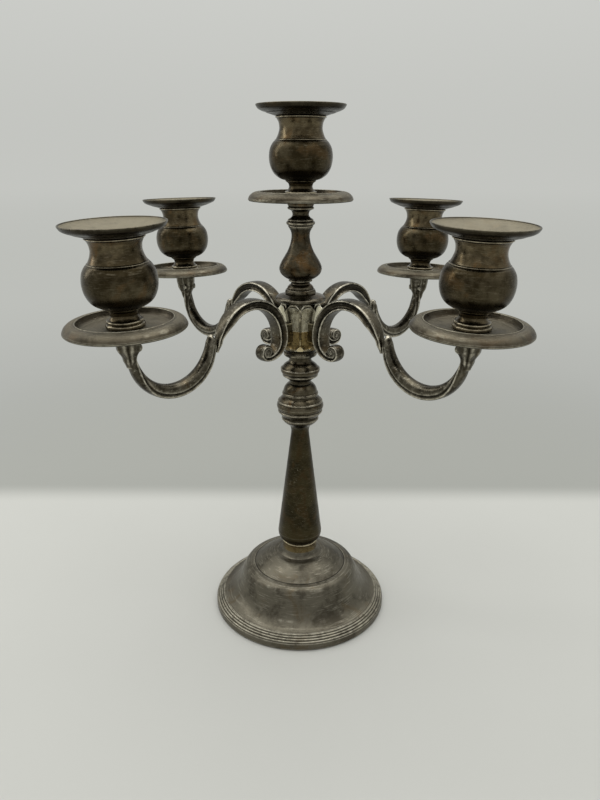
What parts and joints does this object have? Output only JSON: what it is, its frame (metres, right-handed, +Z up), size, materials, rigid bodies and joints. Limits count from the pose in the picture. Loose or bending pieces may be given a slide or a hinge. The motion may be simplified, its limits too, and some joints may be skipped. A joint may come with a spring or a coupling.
{
  "type": "candelabrum",
  "caption": "Table candelabrum with scroll branches around a middle light on a turned stem and a spun round foot; the branches turn on the stem and the candle nozzles lift out.",
  "frame": {"origin": "on the supporting surface, on the axis of the stem", "axes": "+Z up along the stem; the branches point along +X, +Y, -X and -Y"},
  "size_m": [0.3208, 0.3208, 0.3432],
  "materials": {
    "baize": "matt green baize",
    "steel": "turned steel",
    "ballast": "rough cast iron",
    "foot_plate": "tarnished silver plate on spun brass, satin with circular rubbing marks",
    "stem_plate": "dark tarnished silver plate on turned brass",
    "hub_plate": "worn silver plate on cast brass",
    "arm_plate": "worn silver plate on cast brass, bright on the raised rims",
    "pan_plate": "matt grey tarnished silver plate on spun brass",
    "socket_plate": "dark tarnished silver plate on spun brass, coppery on the neck",
    "nozzle_plate": "tarnished silver plate on spun brass, dusty inside",
    "worn_brass": "silver plate worn through to brass"
  },
  "bodies": {
    "base": {"baize_pad": "baize", "base_plate": "steel", "base_weight": "ballast", "foot_shell": "foot_plate", "rod_washer": "steel", "rod_nut": "steel", "tie_rod": "steel", "stem_collar": "worn_brass", "stem_column": "stem_plate", "lower_knop": "stem_plate", "upper_knop": "stem_plate", "stem_spigot": "steel"},
    "branches": {"hub": "hub_plate", "hub_cap": "hub_plate", "centre_spool": "stem_plate", "centre_baluster": "stem_plate", "centre_ring": "worn_brass", "centre_neck": "stem_plate", "centre_rod": "steel", "light_studs": "steel", "branch_1": "arm_plate", "branch_2": "arm_plate", "branch_3": "arm_plate", "branch_4": "arm_plate", "drip_pan_1": "pan_plate", "drip_pan_2": "pan_plate", "drip_pan_3": "pan_plate", "drip_pan_4": "pan_plate", "drip_pan_5": "pan_plate", "socket_1": "socket_plate", "socket_2": "socket_plate", "socket_3": "socket_plate", "socket_4": "socket_plate", "socket_5": "socket_plate"},
    "nozzle_1_body": {"nozzle_1": "nozzle_plate"},
    "nozzle_2_body": {"nozzle_2": "nozzle_plate"},
    "nozzle_3_body": {"nozzle_3": "nozzle_plate"},
    "nozzle_4_body": {"nozzle_4": "nozzle_plate"},
    "nozzle_5_body": {"nozzle_5": "nozzle_plate"}
  },
  "joints": [
    {"name": "branch_swivel", "type": "hinge", "parent": "base", "child": "branches", "pos_m": [0, 0, 0.189], "axis": [0, 0, 1], "continuous": true},
    {"name": "nozzle_1_lift", "type": "slide", "parent": "branches", "child": "nozzle_1_body", "axis": [0.0436, 0, 0.999], "range_m": [0, 0.032]},
    {"name": "nozzle_2_lift", "type": "slide", "parent": "branches", "child": "nozzle_2_body", "axis": [0, 0.0436, 0.999], "range_m": [0, 0.032]},
    {"name": "nozzle_3_lift", "type": "slide", "parent": "branches", "child": "nozzle_3_body", "axis": [-0.0436, 0, 0.999], "range_m": [0, 0.032]},
    {"name": "nozzle_4_lift", "type": "slide", "parent": "branches", "child": "nozzle_4_body", "axis": [0, -0.0436, 0.999], "range_m": [0, 0.032]},
    {"name": "nozzle_5_lift", "type": "slide", "parent": "branches", "child": "nozzle_5_body", "axis": [0, 0, 1], "range_m": [0, 0.032]}
  ]
}
